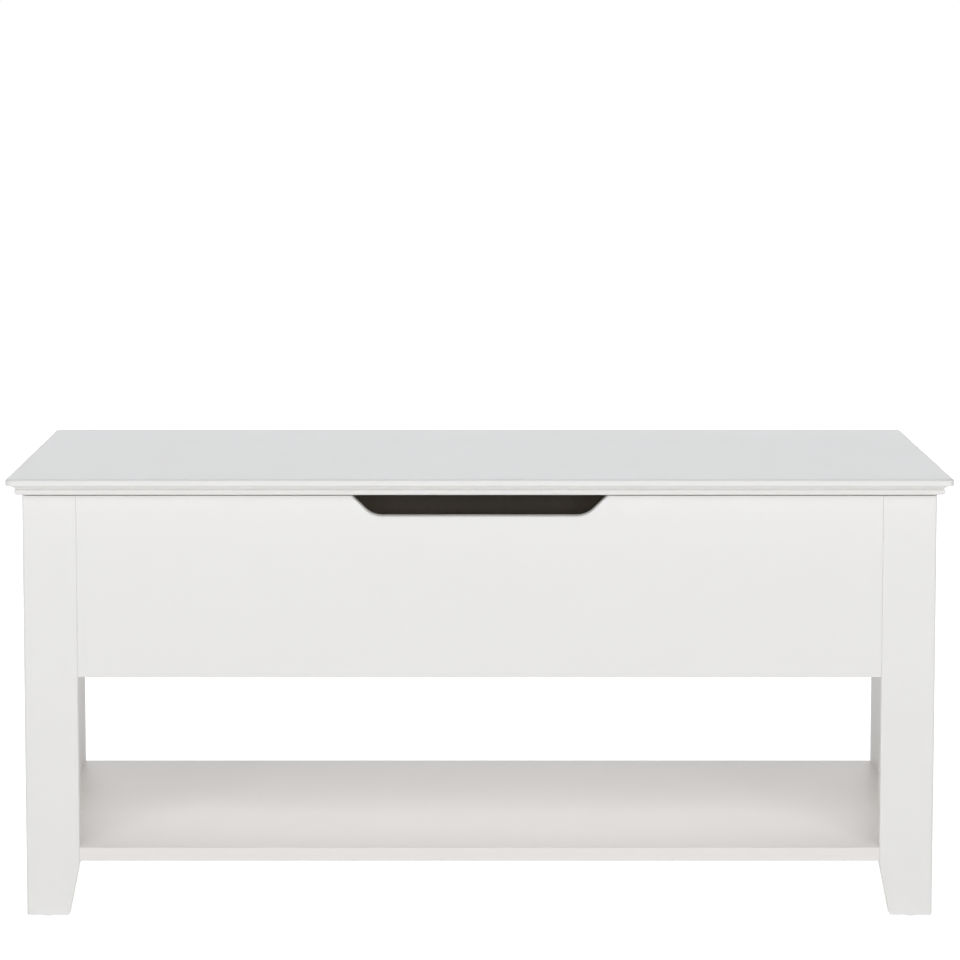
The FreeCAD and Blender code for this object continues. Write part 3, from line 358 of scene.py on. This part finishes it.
# ---- room ----
# A pale floor that glows a little more the further off it is, so that it runs into the white surround
# with no line; only part of that glow lights the bench. Two tall soft boxes stand at the front corners,
# a wide bank hangs high in front and another stands behind, and a small one fills level with the viewer.
GLOW_ON_BENCH = 0.36
bpy.ops.mesh.primitive_plane_add(size=300.0, location=(0.0, 0.0, 0.0))
floor = bpy.context.object
floor.name = "studio_floor"
floor_paint = bpy.data.materials.new("studio_floor_paint")
floor_paint.use_nodes = True
floor_tree = floor_paint.node_tree
floor_shader = floor_tree.nodes["Principled BSDF"]
floor_shader.inputs["Base Color"].default_value = (0.92, 0.92, 0.92, 1.0)
floor_shader.inputs["Roughness"].default_value = 0.9
floor_shader.inputs["Emission Color"].default_value = (1.0, 1.0, 1.0, 1.0)
from_middle = floor_tree.nodes.new("ShaderNodeVectorMath")
from_middle.operation = "LENGTH"
floor_place = floor_tree.nodes.new("ShaderNodeTexCoord").outputs["Object"]
floor_tree.links.new(floor_place, from_middle.inputs[0])
glow = floor_tree.nodes.new("ShaderNodeMapRange")
for label, value in {"From Min": 0.3, "From Max": 2.6, "To Min": 0.64, "To Max": 1.0}.items():
    glow.inputs[label].default_value = value
floor_tree.links.new(from_middle.outputs["Value"], glow.inputs["Value"])
seen_straight = floor_tree.nodes.new("ShaderNodeLightPath").outputs["Is Camera Ray"]
share = arithmetic(floor_tree, "MULTIPLY_ADD", seen_straight, 1.0 - GLOW_ON_BENCH, GLOW_ON_BENCH)
strength = arithmetic(floor_tree, "MULTIPLY", glow.outputs["Result"], share)
floor_tree.links.new(strength, floor_shader.inputs["Emission Strength"])
floor.data.materials.append(floor_paint)

world = bpy.data.worlds.new("white_surround")
world.use_nodes = True
surround = world.node_tree.nodes["Background"]
surround.inputs["Color"].default_value = (0.985, 0.992, 1.0, 1.0)
sight = world.node_tree.nodes.new("ShaderNodeLightPath").outputs["Is Camera Ray"]
light_level = 0.26
seen_level = 1.02
level = arithmetic(world.node_tree, "MULTIPLY_ADD", sight, seen_level - light_level, light_level)
world.node_tree.links.new(level, surround.inputs["Strength"])
bpy.context.scene.world = world

DAYLIGHT = (0.955, 0.974, 1.0)
BANKS = {
    "left_tall_box": ((-2.2, -3.4, 1.25), (0.9, 2.3), 18.0),
    "right_tall_box": ((2.0, -3.55, 1.25), (0.9, 2.3), 18.0),
    "front_high_bank": ((0.0, -3.0, 3.0), (4.0, 1.2), 41.0),
    "level_fill": ((0.0, -3.5, 0.98), (0.8, 0.25), 6.0),
    "back_bank": ((0.0, 4.0, 1.7), (6.5, 1.3), 72.0),
}
for bank_name, (place, (width, height), power) in BANKS.items():
    lamp = bpy.data.lights.new(bank_name, "AREA")
    lamp.shape = "RECTANGLE"
    lamp.size = width
    lamp.size_y = height
    lamp.energy = power
    lamp.color = DAYLIGHT
    bank = bpy.data.objects.new(bank_name, lamp)
    bank.location = place
    aim = Vector((0.0, 0.0, 0.3)) - bank.location
    bank.rotation_euler = aim.to_track_quat("-Z", "Y").to_euler()
    bank.visible_camera = False
    bpy.context.collection.objects.link(bank)

# ---- camera ----
# A long lens at about seat height and a half above the bench, nearly level, so that the legs stay upright.
camera_data = bpy.data.cameras.new("view")
camera_data.lens = 109.95
camera_data.sensor_width = 36.0
camera_data.shift_x = 0.0138
camera_data.shift_y = -0.1993
camera = bpy.data.objects.new("view", camera_data)
camera.location = (-0.0136, -3.2518, 0.9372)
tilt_down = math.radians(4.91)
camera.rotation_euler = (math.radians(90.0) - tilt_down, 0.0, 0.0)
bpy.context.collection.objects.link(camera)
bpy.context.scene.camera = camera
bpy.context.scene.view_settings.view_transform = "Standard"
